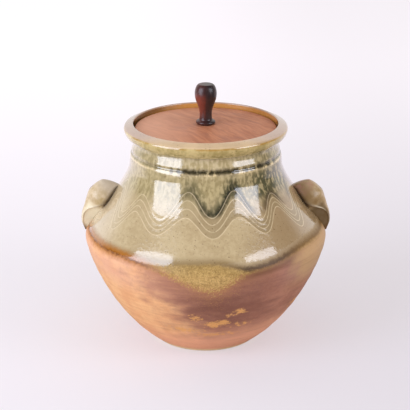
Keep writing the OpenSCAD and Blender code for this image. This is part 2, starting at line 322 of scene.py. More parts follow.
crock = turned(outside + inside, crock_steps)
comb_place = crock.verts.layers.float.new("comb_place")
comb_gauge = crock.verts.layers.float.new("comb_gauge")
comb_reach = crock.verts.layers.float.new("comb_reach")
glaze_reach = crock.verts.layers.float.new("glaze_reach")
ash_reach = crock.verts.layers.float.new("ash_reach")
inner_side = crock.verts.layers.float.new("inner_side")
flame_kiss = crock.verts.layers.float.new("flame_kiss")
for vert in crock.verts:
    x, y, z = vert.co / MM
    radius = math.hypot(x, y)
    degrees = math.degrees(math.atan2(x, -y))
    top, gap, climb = wave_at(degrees)
    thick_edge, ash_edge = glaze_edge(degrees)
    steepness = math.degrees(climb) / max(radius, 1)
    place = (top - z) / gap
    gauge = gap * shoulder_slant / math.sqrt(1 + steepness * steepness)
    reach = smooth_step(comb_stops, comb_whole, abs(abs(degrees) - lug_side))
    vert[comb_place] = place
    vert[comb_gauge] = gauge
    vert[comb_reach] = reach
    vert[glaze_reach] = z - thick_edge
    vert[ash_reach] = z - ash_edge
    vert[flame_kiss] = kiss_at(degrees, z)
    above_floor = z > floor_h - floor_slack
    facing_in = above_floor and vert.normal.x * x + vert.normal.y * y < 0
    in_gallery = z > ledge_h and radius < gallery_r + gallery_slack
    on_floor = above_floor and vert.normal.z > facing_up and radius < floor_reach_r
    vert[inner_side] = 1 if facing_in or in_gallery or on_floor else 0
    on_wall = foot_bevel < z < shoulder_h and vert[inner_side] == 0
    if not on_wall:
        continue
    nearest = min(comb_lines - 1, max(0, round(place)))
    groove = math.sin(math.pi * place) ** 2 if 0 < place < comb_lines - 1 else 0
    ridge = bell((place - nearest) * gauge, 0, comb_ridge_w)
    relief = reach * (comb_ridge * ridge - comb_depth * groove)
    relief += glaze_t * smooth_step(*glaze_feather, z - ash_edge)
    relief += glaze_roll * bell(z - thick_edge, glaze_roll_up, glaze_roll_w)
    turn = degrees / 360
    throwing = 0
    for depth, spacing, shift in throwing_lines:
        throwing += depth * math.sin(math.tau * (z / spacing + turn + shift))
    relief += throwing * smooth_step(*throwing_start, z) * (1 - smooth_step(*throwing_end, z))
    vert.co += vert.normal * relief * MM


class Signal:
    """A socket of a material's nodes, so that its masks are written as sums."""

    def __init__(self, tree, socket):
        self.tree = tree
        self.socket = socket

    def node(self, kind, settings, inputs, output=0):
        """Adds any node: its settings first, then the values or links of its sockets."""
        made = self.tree.nodes.new(kind)
        for name, value in settings.items():
            setattr(made, name, value)
        for key, value in inputs.items():
            if isinstance(value, Signal):
                self.tree.links.new(value.socket, made.inputs[key])
            else:
                made.inputs[key].default_value = value
        return Signal(self.tree, made.outputs[output])

    def other(self, output):
        """Another output of the same node."""
        return Signal(self.tree, self.socket.node.outputs[output])

    def maths(self, operation, first, second=0.0):
        return self.node("ShaderNodeMath", {"operation": operation}, {0: first, 1: second})

    def __add__(self, value):
        return self.maths("ADD", self, value)

    def __radd__(self, value):
        return self.maths("ADD", value, self)

    def __sub__(self, value):
        return self.maths("SUBTRACT", self, value)

    def __rsub__(self, value):
        return self.maths("SUBTRACT", value, self)

    def __mul__(self, value):
        return self.maths("MULTIPLY", self, value)

    def __rmul__(self, value):
        return self.maths("MULTIPLY", value, self)

    def __abs__(self):
        return self.maths("ABSOLUTE", self)

    def least(self, value):
        return self.maths("MINIMUM", self, value)

    def most(self, value):
        return self.maths("MAXIMUM", self, value)

    def rounded(self):
        return self.maths("ROUND", self)

    def rise(self, low, high):
        """0 up to low and 1 from high on, with a smooth step between them."""
        return self.node("ShaderNodeMapRange", {"interpolation_type": "SMOOTHSTEP"},
                         {"Value": self, "From Min": low, "From Max": high})

    def hump(self, middle, half):
        """1 at the middle and 0 from half away from it on."""
        return 1 - abs(self - middle).rise(0, half)

    def tint(self, without, full):
        """A colour that goes from one to another as this mask goes from 0 to 1."""
        return self.node("ShaderNodeMix", {"data_type": "RGBA"}, {0: self, 6: without, 7: full}, 2)

    def vector(self, operation, other):
        return self.node("ShaderNodeVectorMath", {"operation": operation}, {0: self, 1: other})

    def stretched(self, *shares):
        """The place, squeezed along X, Y and Z so that noise on it makes long marks."""
        return self.vector("MULTIPLY", shares)

    def axis(self, name):
        """One of the three coordinates of a place."""
        return self.node("ShaderNodeSeparateXYZ", {}, {"Vector": self}, name)

    def field(self, name):
        """One of the piece's own values, kept on its vertices."""
        return self.node("ShaderNodeAttribute", {"attribute_name": name}, {}, "Fac")

    def noise(self, scale, detail, roughness, distortion=0.0):
        inputs = {"Scale": scale, "Detail": detail, "Roughness": roughness, "Distortion": distortion}
        return self.node("ShaderNodeTexNoise", {}, {"Vector": self, **inputs})

    def bump(self, strength, distance):
        """A normal for a skin with this height."""
        return self.node("ShaderNodeBump", {}, {"Height": self, "Strength": strength, "Distance": distance})

    def feed(self, shader, name):
        self.tree.links.new(self.socket, shader.inputs[name])


def shade(red, green, blue):
    """A colour from the 0 to 255 values that a screen shows."""
    linear = []
    for value in (red, green, blue):
        share = value / 255
        linear.append(share / 12.92 if share <= 0.04045 else ((share + 0.055) / 1.055) ** 2.4)
    return (*linear, 1.0)


def new_finish(name):
    """A material with one main shader, and the place on the object in millimetres."""
    material = bpy.data.materials.new(name)
    material.use_nodes = True
    tree = material.node_tree
    shader = tree.nodes["Principled BSDF"]
    coordinates = tree.nodes.new("ShaderNodeTexCoord")
    place = Signal(tree, coordinates.outputs["Object"]).stretched(1 / MM, 1 / MM, 1 / MM)
    return material, shader, place


stoneware, shader, place = new_finish("ash_glazed_stoneware")
across = place.axis("X")
back = place.axis("Y")
height = place.axis("Z")
gauge = place.field("comb_gauge")
reach = place.field("comb_reach")
thick = place.field("glaze_reach")
thin = place.field("ash_reach")
within = place.field("inner_side")
kissed = place.field("flame_kiss")

# Places that run down the wall, so that noise on them makes drips
drip_ring_r = 100
drip_length = 0.52
level = place.stretched(1, 1, 0)
ring_of = level.vector("NORMALIZE", (0, 0, 0)).stretched(drip_ring_r, drip_ring_r, drip_ring_r)
drips_at = ring_of.vector("ADD", place.node("ShaderNodeCombineXYZ", {}, {"Z": height * drip_length}))

# Noises from coarse to fine, and how far some of them swing from their mean
cloud = place.noise(0.018, 3.0, 0.55)
blotch = place.noise(0.05, 4.0, 0.6)
mottle = place.noise(0.24, 3.0, 0.6)
iron = place.noise(0.55, 2.0, 0.5)
grit = place.noise(0.8, 3.0, 0.65)
drips = drips_at.noise(0.27, 1.5, 0.45, 0.3)
puddles = ring_of.noise(0.11, 2.0, 0.5)
cloud_swing = cloud - 0.5
blotch_swing = blotch - 0.5
mottle_swing = mottle - 0.5
iron_swing = iron - 0.5
grit_swing = grit - 0.5
comb = place.field("comb_place") + blotch_swing * 0.3 + mottle_swing * 0.08

# Glaze on the shoulder: beige below and olive above, where it ran in drips
pale_beige = shade(202, 182, 142)
deep_beige = shade(186, 164, 124)
deep_olive = shade(156, 141, 97)
pale_olive = shade(192, 175, 129)
beige = (cloud + mottle_swing * 0.7).rise(0.3, 0.7).tint(pale_beige, deep_beige)
dripping = (drips + mottle_swing * 0.6).rise(0.3, 0.7)
olive = dripping.tint(deep_olive, pale_olive)
high = (height + blotch_swing * 20).rise(184, 208)
glaze = (high * 0.9).tint(beige, olive)

# Dark green gathers about the comb's top line, more towards the right, between pale drips that run over it;
# on the right of the shoulder's top and neck the murky green is painted shade
murky_green = shade(76, 76, 50)
pool_green = shade(40, 42, 30)
painted_shade_beige = shade(152, 124, 88)
painted_haze_cream = shade(230, 211, 182)
on_neck = height.rise(shoulder_h, shoulder_h + 8)
pooled_and_shaded_side = (across + cloud_swing * 110).rise(-72, 30)
between_drips = 1 - (drips + mottle_swing * 0.4).rise(0.46, 0.64)
gathered = comb.rise(-3.6, -0.4) * (1 - comb.rise(0.4, 1.4)) * height.rise(180, 192)
# Painted shade: the top of the shoulder and the neck turn murky green on the right
shaded_side = across.rise(28, 66) * height.rise(190, 204) * (1 - 0.5 * on_neck)
murk_and_painted_shade = (gathered * pooled_and_shaded_side).most(shaded_side) * (0.3 + 0.7 * between_drips)
glaze = (murk_and_painted_shade * 0.95).tint(glaze, murky_green)
pool = comb.rise(-1.7, -0.1) * (1 - comb.rise(0.2, 1.0)) * height.rise(181, 189) * pooled_and_shaded_side
pool = pool * (blotch * 0.4 + mottle * 0.8).rise(0.44, 0.61)
glaze = pool.tint(glaze, pool_green)
# Painted shade: the lower shoulder turns a deeper beige towards the right
glaze = (across.rise(30, 90) * (1 - high) * 0.7).tint(glaze, painted_shade_beige)
# Painted reflection: a pale haze over the far left of the shoulder
glaze = ((1 - across.rise(-140, -90)) * 0.55).tint(glaze, painted_haze_cream)

# The combed wave: shallow grooves where the glaze lies a little darker, with painted shade that darkens
# them more towards the right, and pale thin ridges between them
lit_groove = shade(182, 162, 124)
dim_groove = shade(156, 136, 100)
ridge_cream = shade(226, 206, 168)
grain_brown = shade(138, 116, 76)
last_line = comb_lines - 1
nearest = comb.rounded().most(0).least(last_line)
off_line = abs(comb - nearest) * gauge
line = (1 - off_line.rise(0.2, 0.85)) * reach
in_band = comb.rise(0.02, 0.16) * (1 - comb.rise(last_line - 0.16, last_line - 0.02)) * reach
# Painted light and shade: the grooves are lit on the left and dim on the right
groove_tone = pooled_and_shaded_side.tint(lit_groove, dim_groove)
glaze = (in_band * (0.34 + 0.4 * pooled_and_shaded_side) * (1 - 0.8 * gathered)).tint(glaze, groove_tone)
line_weight = (mottle + blotch_swing * 0.6).rise(0.2, 0.7) * (1 - 0.5 * pool)
glaze = (line * (0.32 + 0.5 * line_weight)).tint(glaze, ridge_cream)
fine_grain = (grit_swing * 1.2 + iron_swing * 0.8).rise(0, 0.4)
glaze = (fine_grain * 0.2).tint(glaze, grain_brown)

# Neck and groove: pale drips, a painted highlight as a bright lip on the ring, and broken dark pools in the
# groove above it
neck_olive = shade(186, 166, 120)
neck_cream = shade(222, 204, 164)
lip_highlight_cream = shade(234, 212, 164)
groove_black = shade(32, 26, 0)
neck_drips = dripping.tint(neck_olive, neck_cream)
glaze = (on_neck * across.hump(0, 90) * 0.7).tint(glaze, neck_drips)
# Painted highlight: a bright cream lip along the ring's top
lip_highlight = height.hump(ring_top - 2.6, 2.4)
glaze = (lip_highlight * 0.8).tint(glaze, lip_highlight_cream)
pooled = (puddles + mottle_swing * 0.5 + across.hump(0, 60) * 0.06).rise(0.42, 0.56)
in_groove = (height + mottle_swing * 5).hump(ring_top + 0.4, 2 + pooled * 4.5) * (0.35 + 0.65 * pooled)
glaze = (in_groove * (0.3 + 0.65 * across.rise(-70, -20))).tint(glaze, groove_black)

# Rim: straw and olive on its face, painted shade dark under it, pale on its top, amber where the glaze
# breaks on its edge
rim_straw = shade(208, 186, 128)
rim_olive = shade(172, 152, 94)
rim_green = shade(122, 112, 58)
under_rim_shade_brown = shade(70, 56, 28)
near_top = shade(224, 196, 156)
far_top = shade(188, 158, 138)
top_cloud = shade(176, 150, 124)
break_amber = shade(178, 130, 54)
rim_tone = (blotch + mottle_swing * 0.7).rise(0.3, 0.7).tint(rim_straw, rim_olive)
low_on_rim = 1 - height.rise(rim_under_h + 3.6, rim_under_h + 9.6)
green_low = low_on_rim * (mottle + blotch_swing * 0.6).rise(0.42, 0.6)
rim_tone = (green_low * 0.5).tint(rim_tone, rim_green)
on_rim = height.rise(rim_under_h + 0.2, rim_under_h + 2.6)
glaze = on_rim.tint(glaze, rim_tone)
# Painted shade: a dark band under the rim, where it meets the neck
under_rim_shade = height.hump(rim_under_h + 0.8, 1.6)
glaze = (under_rim_shade * 0.7).tint(glaze, under_rim_shade_brown)
top_tone = back.rise(-88, -50).tint(near_top, far_top)
top_tone = (blotch.rise(0.3, 0.7) * 0.3).tint(top_tone, top_cloud)
rim_top = height.rise(rim_edge_h + 1.5, rim_edge_h + 3.1)
glaze = rim_top.tint(glaze, top_tone)
rim_break = height.hump(rim_edge_h + 1.3, 1.7) * (blotch + grit_swing * 0.4).rise(0.34, 0.56)
glaze = (rim_break * 0.75).tint(glaze, break_amber)

# Lower end of the glaze: an olive-brown line where it is thick, then a golden wash of ash with dark specks
end_olive = shade(116, 86, 32)
run_brown = shade(64, 40, 4)
pale_gold = shade(208, 172, 104)
deep_gold = shade(172, 136, 74)
olive_gold = shade(146, 116, 54)
bright_gold = shade(232, 194, 126)
brown_gold = shade(104, 74, 30)
speck_brown = shade(84, 56, 26)
ragged_end = thick + mottle_swing * 5 + grit_swing * 3
right_end = across.rise(0, 50)
end_line = ragged_end.hump(2, 8)
glaze = (end_line * (0.6 + 0.35 * right_end)).tint(glaze, end_olive)
dark_run = ragged_end.hump(1.5, 6) * across.rise(30, 50) * (1 - across.rise(84, 112))
glaze = dark_run.tint(glaze, run_brown)
gold = (grit * 0.6 + mottle * 0.5).rise(0.4, 0.72).tint(pale_gold, deep_gold)
gold = (ragged_end.rise(-14, 0) * 0.6).tint(gold, olive_gold)
gold = (iron.rise(0.56, 0.66) * 0.35).tint(gold, bright_gold)
gold = ((1 - iron).rise(0.56, 0.66) * 0.4).tint(gold, brown_gold)
glaze = (1 - ragged_end.rise(-1.5, 3)).tint(glaze, gold)
speck = iron.rise(0.685, 0.72)
glaze = (speck * 0.8).tint(glaze, speck_brown)

# Inside: the same glaze, painted in shade and brown in front, painted lit and amber at the back and on the
# right, with a painted shadow high up on the left
shaded_lining_brown = shade(112, 76, 26)
lit_lining_amber = shade(206, 146, 74)
lining_shadow_dark = shade(84, 56, 14)
lit_back = (back + across * 0.5).rise(-40, 60)
lining = (lit_back * 0.8 + blotch_swing * 0.5).rise(0, 0.9).tint(shaded_lining_brown, lit_lining_amber)
# Painted shadow high up on the left of the lining, under the rim
left_part = 1 - (across + blotch_swing * 40).rise(-75, -15)
upper_lining_shadow = height.rise(ridge_h - 8.5, ridge_h - 4.5) * left_part
lining = (upper_lining_shadow * 0.75).tint(lining, lining_shadow_dark)
below_ridge = 1 - height.rise(ridge_h - 2.1, ridge_h - 0.7)
glaze = (within * below_ridge).tint(glaze, lining)

# Bare clay: orange on the side of the flame, purple-brown in its lee, pinker towards the foot
flame_pale = shade(245, 191, 133)
flame_orange = shade(233, 171, 117)
veil_pink = shade(226, 170, 142)
toast_brown = shade(164, 110, 86)
toast_pink = shade(186, 130, 103)
lavender_brown = shade(170, 130, 122)
dusk_brown = shade(122, 74, 58)
under_brown = shade(122, 76, 64)
foot_pink = shade(246, 182, 140)
rings = place.stretched(0.05, 0.05, 1).noise(0.32, 3.0, 0.55)
smear = place.stretched(0.55, 0.55, 1).noise(0.05, 4.0, 0.6)
brush = place.stretched(0.4, 0.4, 1).noise(0.1, 3.0, 0.5)
smear_swing = smear - 0.5
brush_swing = brush - 0.5
lee_wander = smear_swing * 100 + brush_swing * 60 + mottle_swing * 24
lee = (across + height * 0.55 - 3 + lee_wander).rise(-40, 40)
flame = (blotch + (rings - 0.5) * 0.4).rise(0.3, 0.7).tint(flame_pale, flame_orange)
veil = height.rise(84, 120) * (0.3 + 0.7 * smear.rise(0.3, 0.65))
flame = (veil * 0.65).tint(flame, veil_pink)
toast = (smear + mottle_swing * 0.5).rise(0.3, 0.7).tint(toast_brown, toast_pink)
lavender = across.rise(70, 110) * height.rise(92, 118)
toast = (lavender * 0.5).tint(toast, lavender_brown)
clay = lee.tint(flame, toast)
dusk = across.hump(22, 110) * height.hump(82, 58) + brush_swing * 0.8 + smear_swing * 0.8
clay = (dusk.rise(0.25, 1) * 0.7 * lee).tint(clay, dusk_brown)
under_right = across.hump(56, 46) * height.hump(112, 28) * (0.4 + smear.rise(0.3, 0.6))
clay = (under_right * 0.4).tint(clay, under_brown)
near_foot = 1 - (height + smear_swing * 34 - across * 0.1).rise(20, 54)
clay = (near_foot * 0.85).tint(clay, foot_pink)

# Marks on the bare clay: a dusting of ash, kisses of flame, sparks, throwing rings and a pale foot edge
dust_brown = shade(180, 126, 72)
kiss_orange = shade(236, 174, 98)
flank_straw = shade(196, 160, 108)
spark_orange = shade(224, 168, 96)
ring_brown = shade(100, 62, 52)
foot_cream = shade(255, 226, 172)
grain_shading = (0.86, 0.84, 0.82)
in_front = across.hump(14, 84)
dusting = (thin + 30 + mottle_swing * 30 + grit_swing * 40).rise(4, 30) * in_front
clay = (dusting * 0.45).tint(clay, dust_brown)
flecks = place.stretched(0.7, 0.7, 1).noise(0.26, 4.0, 0.65)
broken_kiss = (kissed + (flecks - 0.5) * 2 + grit_swing * 0.8).rise(0.3, 0.8)
broken_kiss = broken_kiss * kissed.rise(0.02, 0.2)
clay = (broken_kiss * 0.9).tint(clay, kiss_orange)
flank = (across + blotch_swing * 40).rise(86, 116) * height.rise(80, 118)
clay = (flank * 0.8).tint(clay, flank_straw)
spark = grit.rise(0.6, 0.68) * (thin + 60).rise(0, 46) * in_front
clay = (spark * 0.7).tint(clay, spark_orange)
clay = (rings.rise(0.5, 0.72) * (0.06 + 0.1 * lee)).tint(clay, ring_brown)
clay_grain = (grit_swing * 0.9 + mottle_swing * 0.5).rise(0.02, 0.3)
clay = clay_grain.tint(clay, clay.vector("MULTIPLY", grain_shading))
foot_lip = 1 - height.rise(2.6, 6.6)
clay = (foot_lip * 0.95).tint(clay, foot_cream)

# Where glaze meets clay: a ragged end, amber on the left with a dark core, brown on the right
edge_amber = shade(176, 106, 18)
edge_brown = shade(100, 62, 32)
core_brown = shade(114, 64, 12)
in_wedge = (thin - thick).rise(1, 9)
raggedness = mottle_swing * 14 + iron_swing * 30 + grit_swing * 16
covered = (thin + raggedness * (0.2 + 0.8 * in_wedge)).rise(-3.5, 2.5).most(within)
colour = covered.tint(clay, glaze)
outer = 1 - within
brown_edge = thin + mottle_swing * 5 + grit_swing * 2
left_edge = 1 - (across + cloud_swing * 50).rise(-80, -40)
amber_line = brown_edge.hump(0.5, 9) * (0.1 + 0.85 * left_edge)
colour = (amber_line * outer).tint(colour, edge_amber)
right_edge = across.rise(30, 60) * (1 - across.rise(92, 114))
colour = (brown_edge.hump(-3, 8) * right_edge * 0.6 * outer).tint(colour, edge_brown)
edge_core = brown_edge.hump(0.2, 2.6) * left_edge * (blotch * 0.6 + mottle * 0.6).rise(0.42, 0.66)
colour = (edge_core * 0.8 * outer).tint(colour, core_brown)
colour.feed(shader, "Base Color")

# The glaze is glossy and a little uneven, calmer on the ring, and the bare clay is dry and gritty
glossy = (covered * (ragged_end - 10 * right_end).rise(-2, 1.5)).most(within)
(0.54 - glossy * 0.46 - covered * 0.05 * (1 - glossy)).feed(shader, "Roughness")
glossy.feed(shader, "Coat Weight")
shader.inputs["Coat Roughness"].default_value = 0.05
shader.inputs["Coat IOR"].default_value = 1.7
shader.inputs["Specular IOR Level"].default_value = 0.55
calm = 1 - 0.75 * height.hump(ring_top - 1, 9)
dry_skin = grit * 0.7 + rings * 0.5
glossy_skin = (mottle * 1.8 + drips) * calm
skin = dry_skin * (1 - glossy) + glossy_skin * glossy
skin.bump(0.3, 0.4 * MM).feed(shader, "Normal")


def piece_of(bm, name, material, sharp_angle=40):
    """Puts a finished bmesh into the scene as one piece, smooth but for edges past an angle in degrees."""
    mesh = bpy.data.meshes.new(name)
    bm.to_mesh(mesh)
    bm.free()
    mesh.polygons.foreach_set("use_smooth", [True] * len(mesh.polygons))
    mesh.set_sharp_from_angle(angle=math.radians(sharp_angle))
    mesh.materials.append(material)
    piece = bpy.data.objects.new(name, mesh)
    bpy.context.scene.collection.objects.link(piece)
    return piece


thrown_crock = piece_of(crock, "thrown_crock", stoneware)
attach(thrown_crock, "crock")
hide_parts("crock_body")

# The lugs: two pulled rolls of the same clay, pressed on to the shoulder, each folded over on itself so
# that a plump upper lobe hangs over a flat tail. The glaze breaks brown along their edges.

lug_top_h = 188.5
lug_tail_h = 131.5
lug_stand = 22
lug_press = 1
lug_w = 35

# From root to tail in even steps: how far it stands out, how wide it is, how far out its side edge lies
lug_outer = [0.75, 0.96, 1.11, 1.17, 1.01, 0.84, 0.7, 0.46, 0.08]
lug_width = [0.3, 0.66, 0.94, 1, 0.74, 0.52, 0.37, 0.23, 0.08]
lug_under = [0.12, 0.12, 0.12, 0.14, 0.36, 0.7, 0.84, 0.78, 0.6]

# Places along the lug, from 0 at its root to 1 at its tail
lug_nose = 0.1
hollow_place = 0.34
hollow_length = 0.14
strap_place = (0.36, 0.5)
crevice_ends = (0.38, 0.48)
wear_length = 0.09
arris_place = 0.54
arris_length = 0.12

# Places round half a ring, from 0 on its outer middle to 1 against the wall
lug_over = 9 / 14
crevice_start = 0.52
face_place = (0.22, 0.5)
wear_width = 0.07
arris_inset = 0.01
arris_width = 0.035

# Places on the underside, from 0 at the side edge to 1 in its middle
tuck_end = 0.25
under_start = 0.1
under_end = 0.8

lug_hollow = 1.1
hollow_share = 0.4
lug_tuck = 0.18
lobe_bend = 90
strap_bend = 52
crevice_depth = 0.4
crevice_fade = 0.8
lug_rings = 76
lug_sides = 56
tangent_step = 0.001
halvings = 30


def blended(values, place):
    """A value read smoothly off evenly spaced values, at a place from 0 to 1."""
    last = len(values) - 1
    x = place * last
    i = min(math.floor(x), last - 1)
    f = x - i
    a = values[max(i - 1, 0)]
    b = values[i]
    c = values[i + 1]
    d = values[min(i + 2, last)]
    return b + f / 2 * (c - a + f * (2 * a - 5 * b + 4 * c - d + f * (3 * (b - c) + d - a)))


def shoulder_place(height):
    """Place on the shoulder's curve, from 0 to 1, at a height."""
    low = 0
    high = 1
    for _ in range(halvings):
        middle = (low + high) / 2
        if cubic(*shoulder, middle).y < height:
            low = middle
        else:
            high = middle
    return low


def lug_of(side):
    """One lug's mesh, ring by ring from its root to its tail, on the side +1 or -1."""
    bm = bmesh.new()
    worn = bm.verts.layers.float.new("edge_wear")
    tucked = bm.verts.layers.float.new("tucked")
    arris_highlight = bm.verts.layers.float.new("arris_highlight")
    along_lug = bm.verts.layers.float.new("along_lug")
    front_face = bm.verts.layers.float.new("front_face")
    loops = []
    for ring in range(lug_rings + 1):
        place = (1 - math.cos(math.pi * ring / lug_rings)) / 2
        t = shoulder_place(lug_top_h + (lug_tail_h - lug_top_h) * place)
        foot = cubic(*shoulder, t)
        along = (cubic(*shoulder, t + tangent_step) - cubic(*shoulder, t - tangent_step)).normalized()
        out = point(along.y, -along.x)
        rise = 1 - min(1, place / lug_nose)
        nose = math.sqrt(1 - rise * rise)
        near = -lug_press
        far = near / 2 + (lug_stand * blended(lug_outer, place) - near / 2) * nose
        half = lug_w / 2 * blended(lug_width, place) * (1 + nose) / 2
        edge = near + (far - near) * blended(lug_under, place)
        bend = math.radians(lobe_bend - (lobe_bend - strap_bend) * smooth_step(*strap_place, place))
        along_hollow = bell(place, hollow_place, hollow_length)
        made = bmesh.ops.create_circle(bm, segments=lug_sides, radius=1)["verts"]
        for vert in made:
            angle = math.atan2(vert.co.y, vert.co.x)
            turn = abs(angle) / math.pi
            over = min(1, turn / lug_over) * bend
            below = max(0, (turn - lug_over) / (1 - lug_over))
            dent = lug_hollow * along_hollow * bell(math.sin(over), 0, hollow_share)
            back = (math.cos(over) - math.cos(bend)) / (1 - math.cos(bend))
            to_wall = min(1, max(0, (below - under_start) / (under_end - under_start)))
            off = edge + (far - edge) * back - dent + (near - edge) * to_wall
            wide = half * math.sin(over) / math.sin(bend) * (1 - lug_tuck * smooth_step(0, tuck_end, below))
            wide *= 1 - max(0, (below - under_end) / (1 - under_end))
            spot = foot + off * out
            vert.co = (side * spot.x * MM, math.copysign(wide, angle) * MM, spot.y * MM)
            # A painted highlight along the arris, where the lobe flattens into the strap
            at_arris = bell(turn, lug_over - arris_inset, arris_width)
            # Painted shade with pooled glaze in the crevice: deepest against the wall, fading down the tail
            shut_in_shade = max(below, crevice_depth * smooth_step(crevice_start, lug_over, turn))
            vert[worn] = bell(turn, 0, wear_width) * bell(place, hollow_place, wear_length)
            vert[arris_highlight] = at_arris * bell(place, arris_place, arris_length)
            vert[tucked] = shut_in_shade * (1 - crevice_fade * smooth_step(*crevice_ends, place))
            vert[along_lug] = place
            vert[front_face] = smooth_step(*face_place, turn) if angle < 0 else 0
        edges = {edge for vert in made for edge in vert.link_edges}
        loops.append(list(edges))
    for before, after in zip(loops, loops[1:]):
        bmesh.ops.bridge_loops(bm, edges=before + after)
    bmesh.ops.holes_fill(bm, edges=loops[0] + loops[-1], sides=lug_sides)
    bmesh.ops.recalc_face_normals(bm, faces=bm.faces)
    return bm


pale_lug = shade(217, 195, 160)
deep_lug = shade(190, 166, 120)
shaded_lug_tan = shade(144, 114, 69)
shaded_lobe_olive = shade(178, 153, 102)
shaded_lobe_brown = shade(128, 96, 48)
lit_flank = shade(234, 220, 184)
dim_flank = shade(100, 77, 41)
root_grey = shade(214, 202, 186)
root_pink = shade(190, 144, 132)
crevice_pool_and_shade_brown = shade(70, 48, 18)
wear_brown = shade(130, 88, 36)
arris_highlight_cream = shade(238, 226, 198)
tail_brown = shade(108, 74, 36)
lug_glaze, shader, place = new_finish("lug_glaze")
mottle = place.noise(0.2, 4.0, 0.6)
grit = place.noise(0.8, 3.0, 0.65)
along = place.field("along_lug")
facing = place.field("front_face")
# lee is the right lug, which is painted in shade: its glaze turns tan and its lobe's front face brown
lee = place.axis("X").rise(-20, 20)
glaze = mottle.rise(0.3, 0.7).tint(pale_lug, deep_lug)
glaze = (lee * (0.3 + 0.5 * mottle)).tint(glaze, shaded_lug_tan)
# The lobes' front faces turn olive towards the crevice and further down, partly the glaze's own tone and
# partly painted shade
on_lobe = facing * (1 - along.rise(0.42, 0.52))
glaze = (on_lobe * along.rise(0.1, 0.4) * (0.2 + 0.5 * mottle)).tint(glaze, shaded_lobe_olive)
glaze = (on_lobe * lee * (0.4 + 0.6 * mottle)).tint(glaze, shaded_lobe_brown)
# Painted light and shade: the flank under the lobe is lit on the left lug and dim on the right
on_flank = facing * along.rise(0.44, 0.54)
glaze = (on_flank * 0.8).tint(glaze, lee.tint(lit_flank, dim_flank))
at_root = 1 - along.rise(0.04, 0.3)
glaze = (at_root * (1 - lee) * 0.7).tint(glaze, root_grey)
glaze = (at_root * lee * mottle.rise(0.35, 0.6) * 0.6).tint(glaze, root_pink)
# The crevice against the wall: dark pooled glaze and painted shade
glaze = (place.field("tucked").rise(0.1, 0.6) * 0.9).tint(glaze, crevice_pool_and_shade_brown)
wear = place.field("edge_wear") + (mottle - 0.5) * 0.7
glaze = wear.rise(0.35, 0.75).tint(glaze, wear_brown)
# Painted highlight: a cream line along the arris
glaze = (place.field("arris_highlight") * 0.8).tint(glaze, arris_highlight_cream)
tail_tip = along.rise(0.86, 0.98)
glaze = (tail_tip * 0.85).tint(glaze, tail_brown)
glaze.feed(shader, "Base Color")
shader.inputs["Roughness"].default_value = 0.34
shader.inputs["Coat Weight"].default_value = 0.35
shader.inputs["Coat Roughness"].default_value = 0.2
(mottle + grit * 0.3).bump(0.3, 0.5 * MM).feed(shader, "Normal")

lug_sharp_angle = 100
for side, name, node in ((-1, "pulled_lug_left", "left_lug"), (1, "pulled_lug_right", "right_lug")):
    lug = piece_of(lug_of(side), name, lug_glaze, lug_sharp_angle)
    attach(lug, "crock")
    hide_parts(node)

# The lid: a turned disc of reddish figured wood, slightly crowned, with a countersunk hole through its
# middle. It lies loose in the rim's gallery and was oiled, not varnished.

lid_r = 83
lid_base_h = 251.5
lid_edge_h = 260.5
crown_h = 263.9
lid_bevel = 1.5
lid_round = 1.2
lid_round_turn = 88
crown_pull = 26
crown_swell = 1.7
knob_seat_r = 12.9
screw_gap = 0.08
hole_r = 2.1 + screw_gap
head_r = 4.2 + screw_gap
screw_land = 0.3
screw_head_h = 2.6
lid_round_steps = 6
crown_steps = 30
lid_steps = 200
lid_edge_at = point(lid_r - lid_round, lid_edge_h)
knob_seat = point(knob_seat_r, crown_h)
lid_path = (
    [point(head_r, lid_base_h), point(lid_r - lid_bevel, lid_base_h), point(lid_r, lid_base_h + lid_bevel)]
    + arc(lid_edge_at - point(0, lid_round), lid_round, 0, lid_round_turn, lid_round_steps)
    + curve(lid_edge_at, point(lid_r - crown_pull, lid_edge_h + crown_swell),
            knob_seat + point(crown_pull, 0), knob_seat, crown_steps)[1:]
    + [point(hole_r, crown_h), point(hole_r, lid_base_h + screw_land + screw_head_h)]
    + [point(head_r, lid_base_h + screw_land)]
)

grain_turn = math.radians(52)
red_wood = shade(204, 138, 102)
brown_wood = shade(178, 112, 80)
dull_wood = shade(168, 118, 100)
vein_brown = shade(136, 84, 66)
pore_brown = shade(140, 92, 72)
painted_sheen_wood = shade(240, 184, 154)
lid_wood, shader, place = new_finish("oiled_lid_wood")
grain_way = place.node("ShaderNodeVectorRotate", {}, {"Vector": place, "Angle": grain_turn})
swirl = place.noise(0.016, 2.0, 0.5).other("Color").vector("SUBTRACT", (0.5, 0.5, 0.5))
swirled = grain_way.vector("ADD", swirl.stretched(16, 16, 0))
figure = swirled.stretched(0.16, 1, 0).noise(0.16, 4.0, 0.6, 0.6)
veins = swirled.stretched(0.09, 1, 0).noise(0.5, 3.0, 0.6)
pores = grain_way.stretched(0.12, 1, 0.2).noise(1.3, 2.0, 0.6)
patch = place.noise(0.03, 3.0, 0.5)
wood = figure.rise(0.3, 0.7).tint(red_wood, brown_wood)
wood = ((patch + (figure - 0.5) * 0.5).rise(0.5, 0.72) * 0.4).tint(wood, dull_wood)
wood = (veins.rise(0.56, 0.7) * 0.55).tint(wood, vein_brown)
wood = (pores.rise(0.6, 0.72) * 0.3).tint(wood, pore_brown)
